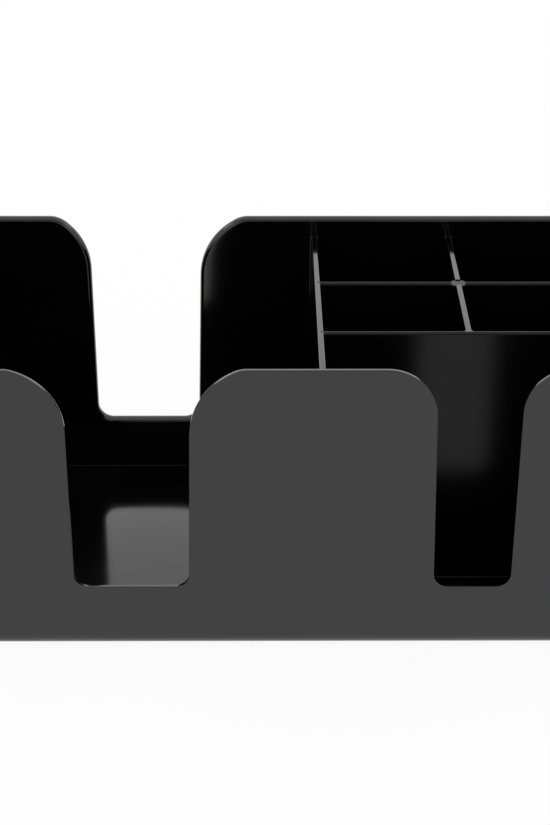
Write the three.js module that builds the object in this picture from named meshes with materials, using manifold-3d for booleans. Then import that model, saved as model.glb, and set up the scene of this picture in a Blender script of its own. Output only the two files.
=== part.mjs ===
// Desk organizer: an open tub whose front and back walls are slotted, with four dividers standing in it.
// Units are millimetres, +Z is up. The origin is on the table, under the middle of the tub,
// +X points to the right-hand pockets and the slotted front wall faces -Y.

import * as THREE from 'three';
import * as BufferGeometryUtils from 'three/addons/utils/BufferGeometryUtils.js';
import Module from 'manifold-3d';

const wasm = await Module();
wasm.setup();

// Tub, measured over the rim.
const width = 241.4;
const depth = 144.4;
const height = 108;
const wallThickness = 2.8;
const floorThickness = 2.3;
const wallLeanDegrees = 1.76;
const cornerRadius = 10;
const baseEdgeRadius = 5;
const floorFilletRadius = 0.2;

// The underside is hollowed a little, so the tub stands on a flat rim.
const footRimWidth = 8;
const recessDepth = 0.6;

// Dividers. They stop short of the rim by dividerDrop, their sides spread a little towards the floor,
// and their top edge is fully rounded.
const dividerDrop = 7.6;
const dividerThickness = 2.2;
const dividerDraftDegrees = 0.3;
const mainDividerX = 13.5;
const frontCrossDividerY = -22.8;
const rearCrossDividerY = 22.8;
const joinGap = 0.3;

// Round boss where the short divider crosses the rear cross divider.
const bossDiameter = 6.2;
const bossStep = 0.35;

// U-shaped slots in the walls, each narrower at its bottom. A slot's floor is a height above the table.
// The tabs beside it have large round top corners. The rim cuts a corner's arc by cut below its crest,
// and an arc of radius tabEase leads from the rim into it.
const leftSlot = {
  topWidth: 42, bottomWidth: 39.6, floor: 24.5, bottomRadius: 5,
  leftTab: { radius: 24, cut: 0.6 }, rightTab: { radius: 26, cut: 1.4 },
};
const rightSlot = {
  topWidth: 28.8, bottomWidth: 26.4, floor: 24.5, bottomRadius: 5,
  leftTab: { radius: 17, cut: 0 }, rightTab: { radius: 16, cut: 0 },
};
const backSlot = {
  topWidth: 43.4, bottomWidth: 40.1, floor: 23.2, bottomRadius: 6,
  leftTab: { radius: 25, cut: 3.2 }, rightTab: { radius: 26, cut: 1.8 },
};
const tabEase = 10;

const lean = Math.tan(THREE.MathUtils.degToRad(wallLeanDegrees));
const dividerTop = height - dividerDrop;
const dividerDraft = Math.tan(THREE.MathUtils.degToRad(dividerDraftDegrees));
const minRadius = 0.5;
const innerCornerRadius = Math.max(cornerRadius - wallThickness, minRadius);
// Half the clear width at the middle height of the slots, where the compartments' middles are taken.
const clearHalfWidth = width / 2 - wallThickness - ((height - leftSlot.floor) / 2) * lean;
const leftCompartmentX = (-clearHalfWidth + mainDividerX - dividerThickness / 2) / 2;
const rightCompartmentX = (clearHalfWidth + mainDividerX + dividerThickness / 2) / 2;
const cornerSegments = 8;
const arcSegments = 12;
const samePoint = 1e-3;
const overshoot = 20;

// ---------- solids ----------

function solid(geometry) {
  const bare = geometry.index ? geometry.toNonIndexed() : geometry.clone();
  bare.deleteAttribute('normal');
  bare.deleteAttribute('uv');
  const merged = BufferGeometryUtils.mergeVertices(bare, 1e-5);
  const mesh = new wasm.Mesh({
    numProp: 3,
    vertProperties: new Float32Array(merged.attributes.position.array),
    triVerts: new Uint32Array(merged.index.array),
  });
  return new wasm.Manifold(mesh);
}

function geometryOf(manifold) {
  const mesh = manifold.getMesh();
  const geometry = new THREE.BufferGeometry();
  geometry.setAttribute('position', new THREE.BufferAttribute(new Float32Array(mesh.vertProperties), 3));
  geometry.setIndex(new THREE.BufferAttribute(new Uint32Array(mesh.triVerts), 1));
  geometry.computeVertexNormals();
  return geometry;
}

function box(xRange, yRange, zRange) {
  const geometry = new THREE.BoxGeometry(xRange[1] - xRange[0], yRange[1] - yRange[0], zRange[1] - zRange[0]);
  geometry.translate((xRange[0] + xRange[1]) / 2, (yRange[0] + yRange[1]) / 2, (zRange[0] + zRange[1]) / 2);
  return solid(geometry);
}

// An outline of a rectangle with round corners, counter-clockwise.
function roundedRectangle(w, d, radius) {
  const x = w / 2 - radius;
  const y = d / 2 - radius;
  const shape = new THREE.Shape();
  shape.absarc(x, y, radius, 0, Math.PI / 2, false);
  shape.absarc(-x, y, radius, Math.PI / 2, Math.PI, false);
  shape.absarc(-x, -y, radius, Math.PI, 1.5 * Math.PI, false);
  shape.absarc(x, -y, radius, 1.5 * Math.PI, 2 * Math.PI, false);
  return shape.getPoints(cornerSegments).slice(0, -1);
}

// A closed body through level outlines that all have the same number of points, lowest first.
function loft(layers) {
  const count = layers[0].outline.length;
  const positions = layers.flatMap(({ outline, z }) => outline.flatMap((p) => [p.x, p.y, z]));
  const index = [];
  for (let layer = 0; layer + 1 < layers.length; layer += 1) {
    for (let i = 0; i < count; i += 1) {
      const a = layer * count + i;
      const b = layer * count + ((i + 1) % count);
      index.push(a, b, b + count, a, b + count, a + count);
    }
  }
  const last = (layers.length - 1) * count;
  for (const [a, b, c] of THREE.ShapeUtils.triangulateShape(layers[0].outline, [])) {
    index.push(a, c, b);
  }
  for (const [a, b, c] of THREE.ShapeUtils.triangulateShape(layers.at(-1).outline, [])) {
    index.push(last + a, last + b, last + c);
  }
  const geometry = new THREE.BufferGeometry();
  geometry.setAttribute('position', new THREE.Float32BufferAttribute(positions, 3));
  geometry.setIndex(index);
  return solid(geometry);
}

// A body with the tub's leaning sides, set in from the outside of the tub by inset. It reaches from
// zBottom, where its edge is rounded, to zTop.
function leaningBody(inset, radius, edgeRadius, zBottom, zTop) {
  const steps = 4;
  const layer = (z, extraInset) => {
    const shrink = inset + extraInset + (height - z) * lean;
    const outline = roundedRectangle(
      width - 2 * shrink, depth - 2 * shrink, Math.max(radius - extraInset, minRadius),
    );
    return { outline, z };
  };
  const layers = [];
  for (let i = 0; i < steps; i += 1) {
    const angle = (i / steps) * (Math.PI / 2);
    layers.push(layer(zBottom + edgeRadius * (1 - Math.cos(angle)), edgeRadius * (1 - Math.sin(angle))));
  }
  layers.push(layer(zBottom + edgeRadius, 0));
  layers.push(layer(zTop, 0));
  return loft(layers);
}

// ---------- tub ----------

// Points along an arc, in the order of travel from one angle to the other.
function arc(centreX, centreY, radius, from, to) {
  return Array.from({ length: arcSegments + 1 }, (_, i) => {
    const angle = from + ((to - from) * i) / arcSegments;
    return new THREE.Vector2(centreX + radius * Math.cos(angle), centreY + radius * Math.sin(angle));
  });
}

// Half a slot's outline, from its floor's middle up past the rim, with the tab on the +X side.
function halfSlotOutline(slot, tab) {
  const sideAngle = Math.atan2((slot.topWidth - slot.bottomWidth) / 2, height - slot.floor);
  const reach = Math.tan(Math.PI / 4 - sideAngle / 2);
  const bottomX = slot.bottomWidth / 2 - slot.bottomRadius * reach;
  const tabX = slot.topWidth / 2 + tab.cut * Math.tan(sideAngle) + tab.radius * reach;
  const tabY = height + tab.cut - tab.radius;
  const easeY = height - tabEase;
  const easeX = tabX - Math.sqrt(Math.max((tab.radius - tabEase) ** 2 - (easeY - tabY) ** 2, 0));
  const meets = Math.atan2(easeY - tabY, easeX - tabX);
  const outline = [
    ...arc(bottomX, slot.floor + slot.bottomRadius, slot.bottomRadius, -Math.PI / 2, -sideAngle),
    ...arc(tabX, tabY, tab.radius, Math.PI - sideAngle, meets),
    ...arc(easeX, easeY, tabEase, meets, Math.PI / 2),
    new THREE.Vector2(easeX, height + overshoot),
  ];
  return outline.filter((point, i) => i === 0 || point.distanceTo(outline[i - 1]) > samePoint);
}

// The body that a slot removes from a wall: x across the wall, y up it, extruded through it.
function slotCutter(slot, centreX, y) {
  const left = halfSlotOutline(slot, slot.leftTab).map((p) => new THREE.Vector2(centreX - p.x, p.y));
  const right = halfSlotOutline(slot, slot.rightTab).map((p) => new THREE.Vector2(centreX + p.x, p.y));
  const cutDepth = 2 * overshoot;
  const geometry = new THREE.ExtrudeGeometry(new THREE.Shape([...left.reverse(), ...right]), {
    depth: cutDepth, bevelEnabled: false,
  });
  geometry.rotateX(Math.PI / 2);
  geometry.translate(0, y + cutDepth / 2, 0);
  return solid(geometry);
}

function underside() {
  const shrink = footRimWidth + height * lean + baseEdgeRadius;
  const outline = roundedRectangle(width - 2 * shrink, depth - 2 * shrink, cornerRadius);
  return loft([{ outline, z: -overshoot }, { outline, z: recessDepth }]);
}

function tub() {
  return leaningBody(0, cornerRadius, baseEdgeRadius, 0, height)
    .subtract(leaningBody(wallThickness, innerCornerRadius, floorFilletRadius, floorThickness, height + overshoot))
    .subtract(underside())
    .subtract(slotCutter(leftSlot, leftCompartmentX, -depth / 2))
    .subtract(slotCutter(rightSlot, rightCompartmentX, -depth / 2))
    .subtract(slotCutter(backSlot, leftCompartmentX, depth / 2));
}

// ---------- dividers ----------

// An endless upright divider along X, through y = 0, thicker by 2 * extra.
function dividerSlab(extra = 0) {
  const radius = dividerThickness / 2 + extra;
  const shoulder = dividerTop - dividerThickness / 2;
  const foot = radius + shoulder * dividerDraft;
  const section = new THREE.Shape();
  section.moveTo(-foot, 0);
  section.lineTo(foot, 0);
  section.lineTo(radius, shoulder);
  section.absarc(0, shoulder, radius, 0, Math.PI, false);
  section.lineTo(-foot, 0);
  const length = width + depth;
  const geometry = new THREE.ExtrudeGeometry(section, { depth: length, bevelEnabled: false, curveSegments: 6 });
  geometry.translate(0, 0, -length / 2);
  geometry.rotateX(Math.PI / 2);
  geometry.rotateZ(Math.PI / 2);
  return solid(geometry);
}

const across = (y, extra) => dividerSlab(extra).translate([0, y, 0]);
const alongDepth = (x, extra) => dividerSlab(extra).rotate([0, 0, 90]).translate([x, 0, 0]);

const fitsInTub = (body) => body.intersect(
  leaningBody(wallThickness + joinGap, innerCornerRadius, floorFilletRadius, floorThickness, height),
);
const everywhere = [-width, width];
const halfLap = (floorThickness + dividerTop) / 2;
const lapHalfWidth = bossDiameter / 2 + joinGap;

function mainDivider() {
  return fitsInTub(alongDepth(mainDividerX));
}

function crossDivider(y) {
  return fitsInTub(across(y))
    .subtract(alongDepth(mainDividerX, joinGap))
    .subtract(box([-width, mainDividerX], everywhere, [0, height]));
}

// The crossing is a half lap: the rear cross divider carries the boss in its upper half.
function rearCrossDivider() {
  const boss = new THREE.CylinderGeometry(bossDiameter / 2, bossDiameter / 2, 1, 24);
  boss.rotateX(Math.PI / 2);
  boss.scale(1, 1, dividerTop - bossStep - floorThickness);
  boss.translate(rightCompartmentX, rearCrossDividerY, (dividerTop - bossStep + floorThickness) / 2);
  const lap = [rightCompartmentX - lapHalfWidth, rightCompartmentX + lapHalfWidth];
  const aboveBoss = box(
    [rightCompartmentX - bossDiameter / 2, rightCompartmentX + bossDiameter / 2],
    [rearCrossDividerY - bossDiameter, rearCrossDividerY + bossDiameter],
    [dividerTop - bossStep, height],
  );
  return crossDivider(rearCrossDividerY)
    .subtract(aboveBoss)
    .add(solid(boss))
    .subtract(box(lap, everywhere, [0, halfLap]));
}

function shortDivider() {
  const lap = [rearCrossDividerY - lapHalfWidth, rearCrossDividerY + lapHalfWidth];
  return fitsInTub(alongDepth(rightCompartmentX))
    .subtract(across(frontCrossDividerY, joinGap))
    .subtract(box(everywhere, [-depth, frontCrossDividerY], [0, height]))
    .subtract(box(everywhere, lap, [halfLap - joinGap, height]));
}

// ---------- assembly ----------

const organizer = new THREE.Group();

function addPiece(name, manifold) {
  const material = new THREE.MeshStandardMaterial({ color: 0x0b0b0c, roughness: 0.16, metalness: 0 });
  const mesh = new THREE.Mesh(geometryOf(manifold), material);
  mesh.name = name;
  organizer.add(mesh);
}

addPiece('organizer_tub', tub());
addPiece('main_divider', mainDivider());
addPiece('rear_cross_divider', rearCrossDivider());
addPiece('front_cross_divider', crossDivider(frontCrossDividerY));
addPiece('short_divider', shortDivider());

export default organizer;
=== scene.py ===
"""Desk organizer: a glossy black moulded caddy with six compartments.

The CAD tub and dividers are replaced by skins of the same size with the moulding's real finish:
rims rounded mostly on the inside, small fillets where walls, floor and dividers meet, a slightly
crowned floor, and a procedural gloss plastic.
Sizes and geometry are in millimetres, which MM turns into Blender's metres. The studio's table, card
and softboxes are in metres.
"""

import math

import bmesh
import bpy
from mathutils import Matrix, Vector
from mathutils.geometry import delaunay_2d_cdt


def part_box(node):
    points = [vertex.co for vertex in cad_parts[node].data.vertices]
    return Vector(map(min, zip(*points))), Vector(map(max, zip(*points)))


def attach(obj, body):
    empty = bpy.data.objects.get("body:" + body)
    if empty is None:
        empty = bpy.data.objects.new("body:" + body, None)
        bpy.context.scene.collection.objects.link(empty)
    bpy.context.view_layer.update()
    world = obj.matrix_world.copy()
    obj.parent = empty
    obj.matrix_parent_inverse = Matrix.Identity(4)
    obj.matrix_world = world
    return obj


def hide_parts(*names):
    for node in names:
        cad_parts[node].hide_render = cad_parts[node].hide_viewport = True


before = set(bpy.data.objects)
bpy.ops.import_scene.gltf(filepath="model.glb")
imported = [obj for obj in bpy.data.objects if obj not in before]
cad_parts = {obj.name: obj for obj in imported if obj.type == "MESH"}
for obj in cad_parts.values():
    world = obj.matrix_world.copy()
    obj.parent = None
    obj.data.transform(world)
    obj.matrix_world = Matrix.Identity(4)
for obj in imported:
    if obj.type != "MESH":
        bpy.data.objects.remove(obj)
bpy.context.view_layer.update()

MM = 0.001

# ---------- sizes in millimetres, from the frame where it holds them ----------

low, high = (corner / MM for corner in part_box("organizer_tub"))
WIDTH, DEPTH, HEIGHT = high - low
main_low, main_high = (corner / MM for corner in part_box("main_divider"))
front_low, front_high = (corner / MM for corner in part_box("front_cross_divider"))
rear_low, rear_high = (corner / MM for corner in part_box("rear_cross_divider"))
MAIN_X = (main_low.x + main_high.x) / 2
FRONT_CROSS_Y = (front_low.y + front_high.y) / 2
REAR_CROSS_Y = (rear_low.y + rear_high.y) / 2
DIVIDER_TOP = main_high.z
FLOOR = main_low.z

WALL = 2.8
LEAN = math.tan(math.radians(1.76))
CORNER_RADIUS = 10.0
BASE_EDGE_RADIUS = 5.0
FLOOR_FILLET = 0.05
RIM_INNER_RADIUS = 1.6
RIM_OUTER_RADIUS = 0.35
FOOT_RIM = 8.0
RECESS = 0.6
RECESS_CORNER = 10.0

# The wide compartment's floor: the crown's full height and spread, the share of it that lies below
# FLOOR, how far from the walls it fades out, and the spacing of the grid that carries it
FLOOR_CROWN = 0.8
CROWN_SPREAD = 20.0
CROWN_BASE = 0.67
CROWN_EDGE = 15.0
FLOOR_GRID = 4.0

DIVIDER = 2.2
DIVIDER_DRAFT = math.tan(math.radians(0.3))
DIVIDER_EDGE_RADIUS = 0.5
DIVIDER_FOOT_FILLET = 0.3
WALL_FLARE = 0.5
DIVIDER_FLARE = 0.4
# How deep a divider's end is buried in a wall and in the boss, and how far short of another
# divider's middle it stops
WALL_BURY = 0.05
BOSS_BURY = 0.5
MIDDLE_GAP = 0.1
BOSS_RADIUS = 3.1
BOSS_STEP = 0.35
BOSS_EDGE_RADIUS = 0.25

FRONT_SLOT_FLOOR = 24.5
CLEAR_HALF_WIDTH = WIDTH / 2 - WALL - (HEIGHT - FRONT_SLOT_FLOOR) / 2 * LEAN
LEFT_X = (-CLEAR_HALF_WIDTH + MAIN_X - DIVIDER / 2) / 2
RIGHT_X = (CLEAR_HALF_WIDTH + MAIN_X + DIVIDER / 2) / 2

# centre, width at the rim and at the slot's floor, height of that floor, radius of its corners, and
# for the corners of the tabs left and right of it (radius, how far the rim cuts it below its crest)
LEFT_SLOT = (LEFT_X, 42.0, 39.6, FRONT_SLOT_FLOOR, 5.0, (24.0, 0.6), (26.0, 1.4))
RIGHT_SLOT = (RIGHT_X, 28.8, 26.4, FRONT_SLOT_FLOOR, 5.0, (17.0, 0.0), (16.0, 0.0))
BACK_SLOT = (LEFT_X, 43.4, 40.1, 23.2, 6.0, (25.0, 3.2), (26.0, 1.8))
TAB_EASE = 10.0

# How many straight steps a rounding takes. BOSS_SIDES go all round the boss
CORNER_STEPS = 12
ROUND_STEPS = 12
FILLET_STEPS = 6
BOSS_EDGE_STEPS = 4
BOSS_SIDES = 48

WELD = 0.0005
SHARP = math.radians(35)

# ---------- looks ----------

POLYSTYRENE_IOR = 1.59
DARKEST = (0.0012, 0.0008, 0.0011, 1)
PALEST = (0.0026, 0.0018, 0.0024, 1)
REFLECTION_TINT = (1.0, 0.992, 1.0, 1)
TABLE_WHITE = (0.9, 0.9, 0.9, 1)
TABLE_GLOW = 0.92
CARD_BLACK = (0.01, 0.01, 0.01, 1)


# ---------- skins ----------

class Skin:
    """Vertices and faces of one closed skin, in millimetres."""

    def __init__(self):
        self.points = []
        self.faces = []

    def add(self, points):
        start = len(self.points)
        self.points.extend(points)
        return list(range(start, len(self.points)))

    def band(self, first, second, closed=False):
        """Quads between two rows of as many vertices."""
        count = len(first)
        for i in range(count if closed else count - 1):
            j = (i + 1) % count
            self.faces.append((first[i], first[j], second[j], second[i]))

    def rings(self, rings, closed=True):
        """Bands through a list of rows of points. Returns the rows' vertices."""
        rows = [self.add(ring) for ring in rings]
        for first, second in zip(rows, rows[1:]):
            self.band(first, second, closed)
        return rows

    def cap(self, row):
        self.faces.append(tuple(row))

    def fill(self, outline, inner_points, to_xyz):
        """Triangles inside a closed outline of 2-D points, through the inner points as well."""
        count = len(outline)
        loop = [(i, (i + 1) % count) for i in range(count)]
        made = delaunay_2d_cdt(outline + inner_points, loop, [list(range(count))], 1, WELD)
        points, faces = made[0], made[2]
        row = self.add([to_xyz(p.x, p.y) for p in points])
        for face in faces:
            self.faces.append(tuple(row[i] for i in face))

    def to_object(self, name):
        mesh = bpy.data.meshes.new(name)
        bm = bmesh.new()
        vertices = [bm.verts.new(Vector(point) * MM) for point in self.points]
        for face in self.faces:
            if len(set(face)) > 2:
                bm.faces.new([vertices[i] for i in face])
        bmesh.ops.remove_doubles(bm, verts=bm.verts, dist=WELD * MM)
        bmesh.ops.recalc_face_normals(bm, faces=bm.faces)
        for face in bm.faces:
            face.smooth = True
        for edge in bm.edges:
            edge.smooth = edge.calc_face_angle(0.0) < SHARP
        bm.to_mesh(mesh)
        bm.free()
        obj = bpy.data.objects.new(name, mesh)
        bpy.context.scene.collection.objects.link(obj)
        return obj


def steps(count, start, end):
    """count + 1 evenly spaced values from start to end."""
    return [start + (end - start) * i / count for i in range(count + 1)]


def keep_flats_flat(obj):
    """Shading normals follow the large flat faces, so the roundings blend into true planes."""
    weighted = obj.modifiers.new("flat_faces", "WEIGHTED_NORMAL")
    weighted.mode = "FACE_AREA"
    weighted.weight = 100
    weighted.keep_sharp = True


# ---------- tub ----------

def half_sizes(z, offset):
    """Half the width and half the depth of the tub's outside at height z, moved outwards by offset."""
    shrink = (HEIGHT - z) * LEAN - offset
    return WIDTH / 2 - shrink, DEPTH / 2 - shrink


def corner_ring(z, offset, radius):
    """A ring round the tub at height z: its corners' points, counter-clockwise from the front right."""
    half_x, half_y = half_sizes(z, offset)
    ring = []
    for quarter, (sx, sy) in enumerate(((1, -1), (1, 1), (-1, 1), (-1, -1))):
        for angle in steps(CORNER_STEPS, (quarter - 1) * math.pi / 2, quarter * math.pi / 2):
            ring.append((
                sx * (half_x - radius) + radius * math.cos(angle),
                sy * (half_y - radius) + radius * math.sin(angle),
                z,
            ))
    return ring


def slot_outline(slot):
    """The rim down through a slot and up again, left to right: points with their outward directions."""
    centre, top_width, bottom_width, floor, bottom_radius, left_tab, right_tab = slot
    side_angle = math.atan2((top_width - bottom_width) / 2, HEIGHT - floor)
    reach = math.tan(math.pi / 4 - side_angle / 2)
    outline = []
    for side, (tab_radius, cut) in ((-1, left_tab), (1, right_tab)):
        at_crest = top_width / 2 + cut * math.tan(side_angle)
        tab = Vector((at_crest + tab_radius * reach, HEIGHT + cut - tab_radius))
        ease_height = HEIGHT - TAB_EASE
        run = (tab_radius - TAB_EASE) ** 2 - (ease_height - tab.y) ** 2
        ease = Vector((tab.x - math.sqrt(max(0.0, run)), ease_height))
        meets = math.atan2(ease.y - tab.y, ease.x - tab.x)
        bottom = Vector((bottom_width / 2 - bottom_radius * reach, floor + bottom_radius))
        half = []
        for middle, radius, start, end, count, sign in (
            (ease, TAB_EASE, math.pi / 2, meets, FILLET_STEPS, 1),
            (tab, tab_radius, meets, math.pi - side_angle, 2 * ROUND_STEPS, 1),
            (bottom, bottom_radius, -side_angle, -math.pi / 2, ROUND_STEPS, -1),
        ):
            for angle in steps(count, start, end):
                away = Vector((math.cos(angle), math.sin(angle)))
                half.append((middle + radius * away, sign * away))
        placed = [
            (Vector((centre + side * point.x, point.y)), Vector((side * away.x, away.y)))
            for point, away in half
        ]
        outline += placed if side < 0 else placed[::-1]
    gaps = [(after[0] - before[0]).length for before, after in zip(outline, outline[1:])]
    return outline[:1] + [pair for pair, gap in zip(outline[1:], gaps) if gap > WELD]


def rim_profile():
    """The rim's section from inside to outside: offsets from the wall's middle and drops below the rim."""
    profile = []
    for side, radius in ((-1, RIM_INNER_RADIUS), (1, RIM_OUTER_RADIUS)):
        for angle in steps(FILLET_STEPS, 0.0, math.pi / 2)[::side]:
            offset = side * (WALL / 2 - radius + radius * math.sin(angle))
            profile.append((offset, radius * (1 - math.cos(angle))))
    return profile


class Wall:
    """The front wall (facing = -1) or the back wall (facing = 1), with its slots."""

    def __init__(self, facing, slots):
        self.facing = facing
        self.reach = WIDTH / 2 - CORNER_RADIUS
        outermost = max(abs(point.x) for slot in slots for point, _ in slot_outline(slot))
        self.bend_from = (outermost + self.reach) / 2
        up = Vector((0, 1))
        self.rim = [(Vector((-self.reach, HEIGHT)), up)]
        for slot in slots:
            self.rim += slot_outline(slot)
        self.rim.append((Vector((self.reach, HEIGHT)), up))

    def place(self, x, z, offset):
        """A point of the wall, offset outwards from its middle. Its ends follow the leaning corners."""
        share = max(0.0, abs(x) - self.bend_from) / (self.reach - self.bend_from)
        drawn_in = math.copysign(share * (HEIGHT - z) * LEAN, x)
        _, half_y = half_sizes(z, offset - WALL / 2)
        return (x - drawn_in, self.facing * half_y, z)

    def panel(self, skin, z_low, offset, rim_radius):
        """The flat face between z_low and the start of the rim's rounding."""
        upper_edge = [point - direction * rim_radius for point, direction in self.rim]
        outline = [Vector((-self.reach, z_low)), Vector((self.reach, z_low))] + upper_edge[::-1]
        skin.fill(outline, [], lambda x, z: self.place(x, z, offset))

    def rim_rows(self):
        """Rows of points along the rounded rim, from inside to outside."""
        rows = []
        for offset, drop in rim_profile():
            dropped = [point - direction * drop for point, direction in self.rim]
            rows.append([self.place(p.x, p.y, offset) for p in dropped])
        return rows


def fade_in(distance):
    """0 at the edge of the crowned floor, 1 from CROWN_EDGE inwards."""
    share = min(1.0, max(0.0, distance / CROWN_EDGE))
    return share * share * (3 - 2 * share)


def crown(x, y):
    """The wide compartment's floor is crowned along its middle and sinks a little beside it. Returns the
    height above FLOOR."""
    _, half_y = half_sizes(FLOOR, -WALL)
    rise = math.exp(-((x - LEFT_X) / CROWN_SPREAD) ** 2 / 2) - CROWN_BASE
    return FLOOR_CROWN * rise * fade_in(half_y - abs(y)) * fade_in(MAIN_X - x)


def floor_sheet(skin, ring):
    """The floor's upper face inside the given ring, on a grid fine enough for its crown."""
    outline = [Vector(point[:2]) for point in ring]
    half_x, half_y = (max(abs(point[axis]) for point in outline) - FLOOR_GRID for axis in (0, 1))
    count_x, count_y = round(2 * half_x / FLOOR_GRID), round(2 * half_y / FLOOR_GRID)
    corner = CORNER_RADIUS + FLOOR_GRID
    grid = [
        Vector((x, y)) for x in steps(count_x, -half_x, half_x) for y in steps(count_y, -half_y, half_y)
        if abs(x) < half_x - corner or abs(y) < half_y - corner
    ]
    skin.fill(outline, grid, lambda x, y: (x, y, FLOOR + crown(x, y)))


def build_tub():
    """The tub's skin: walls, corners, rim, base edge with foot rim and recess, and the floor."""
    skin = Skin()
    z_low = BASE_EDGE_RADIUS + FLOOR_FILLET
    inner_radius = CORNER_RADIUS - WALL

    front = Wall(-1, (LEFT_SLOT, RIGHT_SLOT))
    back = Wall(1, (BACK_SLOT,))
    for wall in (front, back):
        wall.panel(skin, z_low, WALL / 2, RIM_OUTER_RADIUS)
        wall.panel(skin, z_low, -WALL / 2, RIM_INNER_RADIUS)

    # The end walls with their corners: the right one takes a ring's first half, the left one the rest.
    per_end = 2 * (CORNER_STEPS + 1)
    ends = (slice(0, per_end), slice(per_end, 2 * per_end))
    sides = ((0.0, CORNER_RADIUS, RIM_OUTER_RADIUS), (-WALL, inner_radius, RIM_INNER_RADIUS))
    for offset, radius, rim_radius in sides:
        lower = skin.add(corner_ring(z_low, offset, radius))
        upper = skin.add(corner_ring(HEIGHT - rim_radius, offset, radius))
        for end in ends:
            skin.band(lower[end], upper[end])

    # The rounded rim, wall by wall.
    for wall in (front, back):
        skin.rings(wall.rim_rows(), closed=False)
    corner_rows = []
    for offset, drop in rim_profile():
        inset = WALL / 2 - offset
        corner_rows.append(corner_ring(HEIGHT - drop, -inset, CORNER_RADIUS - inset))
    for end in ends:
        skin.rings([row[end] for row in corner_rows], closed=False)

    # The outer base edge, the foot rim and the shallow recess under the floor.
    outside = [corner_ring(z_low, 0.0, CORNER_RADIUS)]
    for angle in steps(2 * FILLET_STEPS, 0.0, math.pi / 2):
        inset = BASE_EDGE_RADIUS * (1 - math.cos(angle))
        z = BASE_EDGE_RADIUS * (1 - math.sin(angle))
        outside.append(corner_ring(z, -inset, CORNER_RADIUS - inset))
    rim_inner = -BASE_EDGE_RADIUS - FOOT_RIM
    step_radius = RECESS / 2
    for angle in steps(FILLET_STEPS, 0.0, math.pi / 2):
        inset = step_radius * math.sin(angle)
        z = step_radius * (1 - math.cos(angle))
        outside.append(corner_ring(z, rim_inner - inset, RECESS_CORNER))
    for angle in steps(FILLET_STEPS, 0.0, math.pi / 2):
        inset = step_radius * (2 - math.cos(angle))
        z = step_radius * (1 + math.sin(angle))
        outside.append(corner_ring(z, rim_inner - inset, RECESS_CORNER))
    skin.cap(skin.rings(outside)[-1])

    # The fillet inside, down to the floor.
    inside = [corner_ring(z_low, -WALL, inner_radius)]
    for angle in steps(FILLET_STEPS, 0.0, math.pi / 2):
        inset = FLOOR_FILLET * (1 - math.cos(angle))
        z = FLOOR + FLOOR_FILLET * (1 - math.sin(angle))
        inside.append(corner_ring(z, -WALL - inset, inner_radius - inset))
    skin.rings(inside)
    floor_sheet(skin, inside[-1])
    return skin.to_object("moulded_tub")


# ---------- dividers ----------

def half_thickness(z):
    """Half a divider's thickness. Its draft starts half a thickness below its top."""
    return DIVIDER / 2 + max(0.0, DIVIDER_TOP - DIVIDER / 2 - z) * DIVIDER_DRAFT


def divider_section(flare, edge_radius):
    """Offset and height pairs from the floor over the divider's top to the floor again.

    edge_radius rounds the top's two edges. flare widens the section, as the fillet at its end does."""
    shoulder = DIVIDER_TOP - edge_radius
    side = []
    for angle in steps(FILLET_STEPS, 0.0, math.pi / 2):
        z = FLOOR + DIVIDER_FOOT_FILLET * (1 - math.cos(angle))
        side.append((half_thickness(z) + flare + DIVIDER_FOOT_FILLET * (1 - math.sin(angle)), z))
    for angle in steps(ROUND_STEPS // 2, 0.0, math.pi / 2):
        side.append((
            DIVIDER / 2 + flare - edge_radius * (1 - math.cos(angle)),
            shoulder + edge_radius * math.sin(angle),
        ))
    return [(-a, z) for a, z in side] + [(a, z) for a, z in side[::-1]]


class End:
    """Where a divider ends: position(z) along its run, its flare there and how far it is buried."""

    def __init__(self, position, flare, bury=0.0):
        self.position = position
        self.flare = flare
        self.bury = bury

    def stations(self):
        """(distance from the end, flare there) pairs, from the end inwards."""
        found = [(-self.bury, self.flare)] if self.bury else []
        if not self.flare:
            return found + [(0.0, 0.0)]
        for angle in steps(FILLET_STEPS, 0.0, math.pi / 2):
            distance = self.flare * (1 - math.cos(angle))
            found.append((distance, self.flare * (1 - math.sin(angle))))
        return found


def along_x(middle):
    """Places the points of a divider whose middle plane is at y = middle."""
    return lambda offset, run, z: (run, middle + offset, z)


def along_y(middle):
    """Places the points of a divider whose middle plane is at x = middle."""
    return lambda offset, run, z: (middle + offset, run, z)


def build_divider(skin, start, end, edge_radius, to_xyz):
    """A divider swept from start to end. to_xyz(offset, run, z) places a point of its section."""
    rows = []
    for stop, sign in ((start, 1), (end, -1)):
        found = []
        for distance, flare in stop.stations():
            section = divider_section(flare, edge_radius)
            found.append([
                to_xyz(offset, stop.position(z) + sign * distance, z) for offset, z in section
            ])
        rows += found if sign > 0 else found[::-1]
    made = skin.rings(rows)
    skin.cap(made[0])
    skin.cap(made[-1])


def wall_end(axis, sign):
    """At the inside of a wall. axis is 0 for an end wall, 1 for the front or back, sign its side."""
    return End(lambda z: sign * half_sizes(z, -WALL)[axis], WALL_FLARE, WALL_BURY)


def divider_end(middle, side):
    """At the side of the divider whose middle plane is at middle. side is the way this one leaves it."""
    return End(lambda z: middle + side * half_thickness(z), DIVIDER_FLARE, DIVIDER / 2 - MIDDLE_GAP)


def boss_end(middle, side):
    """Inside the boss, whose middle is at middle. side is the way the divider leaves it."""
    return End(lambda z: middle + side * (BOSS_RADIUS - BOSS_BURY), 0.0)


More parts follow.
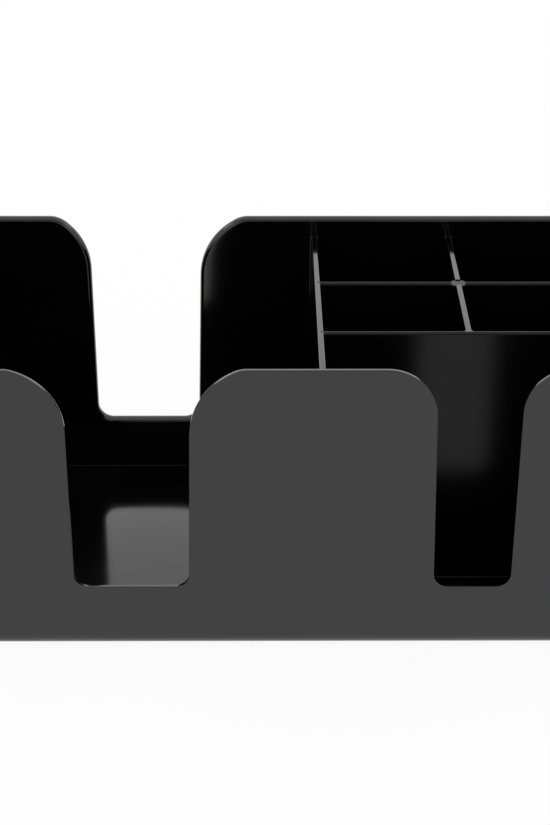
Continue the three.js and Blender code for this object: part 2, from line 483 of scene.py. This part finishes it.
def add_boss(skin, centre_x, centre_y):
    """The round boss at the crossing, a little lower than the dividers, with a small edge rounding."""
    top = DIVIDER_TOP - BOSS_STEP
    profile = [(BOSS_RADIUS, FLOOR)]
    for angle in steps(BOSS_EDGE_STEPS, 0.0, math.pi / 2):
        radius = BOSS_RADIUS - BOSS_EDGE_RADIUS * (1 - math.cos(angle))
        profile.append((radius, top - BOSS_EDGE_RADIUS * (1 - math.sin(angle))))
    rings = []
    for radius, z in profile:
        rings.append([
            (centre_x + radius * math.cos(turn), centre_y + radius * math.sin(turn), z)
            for turn in steps(BOSS_SIDES, 0.0, 2 * math.pi)[:-1]
        ])
    made = skin.rings(rings)
    skin.cap(made[0])
    skin.cap(made[-1])


def build_dividers():
    """The four dividers' skins by node. The cross dividers' tops are full rounds, the others' are flat."""
    back_wall = wall_end(1, 1)
    right_wall = wall_end(0, 1)
    full_round = DIVIDER / 2

    main = Skin()
    build_divider(main, wall_end(1, -1), back_wall, DIVIDER_EDGE_RADIUS, along_y(MAIN_X))

    front_cross = Skin()
    build_divider(front_cross, divider_end(MAIN_X, 1), right_wall, full_round, along_x(FRONT_CROSS_Y))

    rear_cross = Skin()
    rear_parts = ((divider_end(MAIN_X, 1), boss_end(RIGHT_X, -1)), (boss_end(RIGHT_X, 1), right_wall))
    for start, end in rear_parts:
        build_divider(rear_cross, start, end, full_round, along_x(REAR_CROSS_Y))
    add_boss(rear_cross, RIGHT_X, REAR_CROSS_Y)

    short = Skin()
    front_part = (divider_end(FRONT_CROSS_Y, 1), boss_end(REAR_CROSS_Y, -1))
    rear_part = (boss_end(REAR_CROSS_Y, 1), back_wall)
    for start, end in (front_part, rear_part):
        build_divider(short, start, end, DIVIDER_EDGE_RADIUS, along_y(RIGHT_X))
    return {
        "main_divider": main.to_object("long_divider"),
        "front_cross_divider": front_cross.to_object("front_cross_rib"),
        "rear_cross_divider": rear_cross.to_object("rear_cross_rib"),
        "short_divider": short.to_object("short_rib"),
    }


# ---------- material ----------

def add_noise(nodes, links, where, *, scale, detail, stretch=(1, 1, 1)):
    """A noise texture of the object's own coordinates. stretch draws it out along an axis."""
    mapping = nodes.new("ShaderNodeMapping")
    mapping.inputs["Scale"].default_value = stretch
    noise = nodes.new("ShaderNodeTexNoise")
    noise.inputs["Scale"].default_value = scale
    noise.inputs["Detail"].default_value = detail
    links.new(where.outputs["Object"], mapping.inputs["Vector"])
    links.new(mapping.outputs["Vector"], noise.inputs["Vector"])
    return noise.outputs["Fac"]


def black_plastic(name, *, smoothest, roughest, gloss, waviness, stretch=(1, 1, 1)):
    """Black polystyrene: a near-black body under a clear surface reflection, with a faint waviness.

    smoothest and roughest are the ends of its roughness, gloss is the shader's specular level, and
    waviness is the height of its waves in millimetres, drawn out along an axis by stretch."""
    material = bpy.data.materials.new(name)
    material.use_nodes = True
    nodes = material.node_tree.nodes
    links = material.node_tree.links
    shader = nodes["Principled BSDF"]
    shader.inputs["IOR"].default_value = POLYSTYRENE_IOR
    shader.inputs["Specular IOR Level"].default_value = gloss
    shader.inputs["Specular Tint"].default_value = REFLECTION_TINT
    where = nodes.new("ShaderNodeTexCoord")

    colour = nodes.new("ShaderNodeValToRGB")
    colour.color_ramp.elements[0].color = DARKEST
    colour.color_ramp.elements[1].color = PALEST
    links.new(add_noise(nodes, links, where, scale=35.0, detail=4.0), colour.inputs["Fac"])
    links.new(colour.outputs["Color"], shader.inputs["Base Color"])

    rough = nodes.new("ShaderNodeMapRange")
    rough.inputs["To Min"].default_value = smoothest
    rough.inputs["To Max"].default_value = roughest
    links.new(add_noise(nodes, links, where, scale=60.0, detail=6.0), rough.inputs["Value"])
    links.new(rough.outputs["Result"], shader.inputs["Roughness"])

    bump = nodes.new("ShaderNodeBump")
    bump.inputs["Strength"].default_value = 1.0
    bump.inputs["Distance"].default_value = waviness * MM
    waves = add_noise(nodes, links, where, scale=28.0, detail=1.0, stretch=stretch)
    links.new(waves, bump.inputs["Height"])
    links.new(bump.outputs["Normal"], shader.inputs["Normal"])
    return material


# ---------- assembly ----------

polished = black_plastic(
    "polished_black_plastic", smoothest=0.08, roughest=0.12, gloss=0.52, waviness=0.03,
)
satin = black_plastic(
    "satin_black_plastic", smoothest=0.19, roughest=0.25, gloss=0.19, waviness=0.06, stretch=(3, 3, 0.4),
)
skins = {"organizer_tub": build_tub(), **build_dividers()}
for node, piece in skins.items():
    keep_flats_flat(piece)
    piece.data.materials.append(satin if "cross" in node else polished)
    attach(piece, "root")
    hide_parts(node)


# ---------- studio ----------

def seen_share(nodes, links, share):
    """share for the rays that see the background: camera, glossy and transmission rays. Otherwise 0."""
    path = nodes.new("ShaderNodeLightPath")
    total = None
    for kind in ("Is Camera Ray", "Is Glossy Ray", "Is Transmission Ray"):
        ray = path.outputs[kind]
        if total is not None:
            larger = nodes.new("ShaderNodeMath")
            larger.operation = "MAXIMUM"
            links.new(total, larger.inputs[0])
            links.new(ray, larger.inputs[1])
            ray = larger.outputs[0]
        total = ray
    scaled = nodes.new("ShaderNodeMath")
    scaled.operation = "MULTIPLY"
    scaled.inputs[1].default_value = share
    links.new(total, scaled.inputs[0])
    return scaled.outputs[0]


def white_table():
    """A white table, nearly as bright as the background, that keeps a faint shadow of the object."""
    bpy.ops.mesh.primitive_plane_add(size=6.0, location=(0, 0, 0))
    table = bpy.context.object
    table.name = "white_table"
    material = bpy.data.materials.new("white_table")
    material.use_nodes = True
    nodes = material.node_tree.nodes
    links = material.node_tree.links
    nodes.clear()
    out = nodes.new("ShaderNodeOutputMaterial")
    diffuse = nodes.new("ShaderNodeBsdfDiffuse")
    diffuse.inputs["Color"].default_value = TABLE_WHITE
    glow = nodes.new("ShaderNodeEmission")
    mix = nodes.new("ShaderNodeMixShader")
    links.new(seen_share(nodes, links, TABLE_GLOW), mix.inputs[0])
    links.new(diffuse.outputs[0], mix.inputs[1])
    links.new(glow.outputs[0], mix.inputs[2])
    links.new(mix.outputs[0], out.inputs["Surface"])
    table.data.materials.append(material)


def white_world():
    """Plain white all round, as lamp, mirrored and seen."""
    world = bpy.data.worlds.new("studio")
    bpy.context.scene.world = world
    world.use_nodes = True
    background = world.node_tree.nodes["Background"]
    background.inputs["Color"].default_value = (1, 1, 1, 1)
    background.inputs["Strength"].default_value = 1.0


def black_card(*, elevation, distance, width, height):
    """A card behind the camera, which the glossy faces mirror as a dark area."""
    lift = math.radians(elevation)
    away = Vector((0, -math.cos(lift), math.sin(lift)))
    place = Vector((0, 0, HEIGHT / 2 * MM)) + away * distance
    bpy.ops.mesh.primitive_plane_add(size=1.0, location=place)
    card = bpy.context.object
    card.name = "black_card"
    card.scale = (width, height, 1)
    card.rotation_euler = away.to_track_quat("Z", "Y").to_euler()
    card.visible_camera = False
    material = bpy.data.materials.new("black_card")
    material.use_nodes = True
    shader = material.node_tree.nodes["Principled BSDF"]
    shader.inputs["Base Color"].default_value = CARD_BLACK
    shader.inputs["Roughness"].default_value = 0.9
    shader.inputs["Specular IOR Level"].default_value = 0.0
    card.data.materials.append(material)


def softbox(name, *, azimuth, elevation, distance, width, height, radiance):
    """A rectangular lamp aimed at the object. Azimuth 0 is behind the object, positive to the right."""
    data = bpy.data.lights.new(name, "AREA")
    data.shape = "RECTANGLE"
    data.size = width
    data.size_y = height
    data.energy = radiance * math.pi * width * height
    lamp = bpy.data.objects.new(name, data)
    bpy.context.scene.collection.objects.link(lamp)
    turn, lift = math.radians(azimuth), math.radians(elevation)
    away = Vector((math.sin(turn) * math.cos(lift), math.cos(turn) * math.cos(lift), math.sin(lift)))
    lamp.location = Vector((0, 0, HEIGHT * MM)) + away * distance
    lamp.rotation_euler = away.to_track_quat("Z", "Y").to_euler()
    lamp.visible_camera = False


def camera():
    """A product camera in front of the caddy and above it, tilted down."""
    place = Vector((-8.6, -724.6, 407.5))
    data = bpy.data.cameras.new("camera")
    data.sensor_fit = "AUTO"
    data.sensor_width = 36.0
    data.lens = 95.384727
    cam = bpy.data.objects.new("camera", data)
    bpy.context.scene.collection.objects.link(cam)
    tilt, turn, roll = (math.radians(degrees) for degrees in (25.75, 0.51, 0.18))
    pitch = Matrix.Rotation(math.pi / 2 - tilt, 4, "X")
    facing = Matrix.Rotation(-turn, 4, "Z") @ pitch @ Matrix.Rotation(roll, 4, "Z")
    cam.matrix_world = Matrix.Translation(place * MM) @ facing
    bpy.context.scene.camera = cam


white_table()
white_world()
black_card(elevation=27, distance=1.0, width=0.62, height=0.34)
softbox("rear_softbox", azimuth=0, elevation=14, distance=1.6, width=1.8, height=0.62, radiance=0.35)
for name, azimuth in (("left_softbox", -90), ("right_softbox", 90)):
    softbox(name, azimuth=azimuth, elevation=42, distance=1.4, width=0.5, height=0.3, radiance=2.5)
camera()
bpy.context.scene.view_settings.view_transform = "Standard"
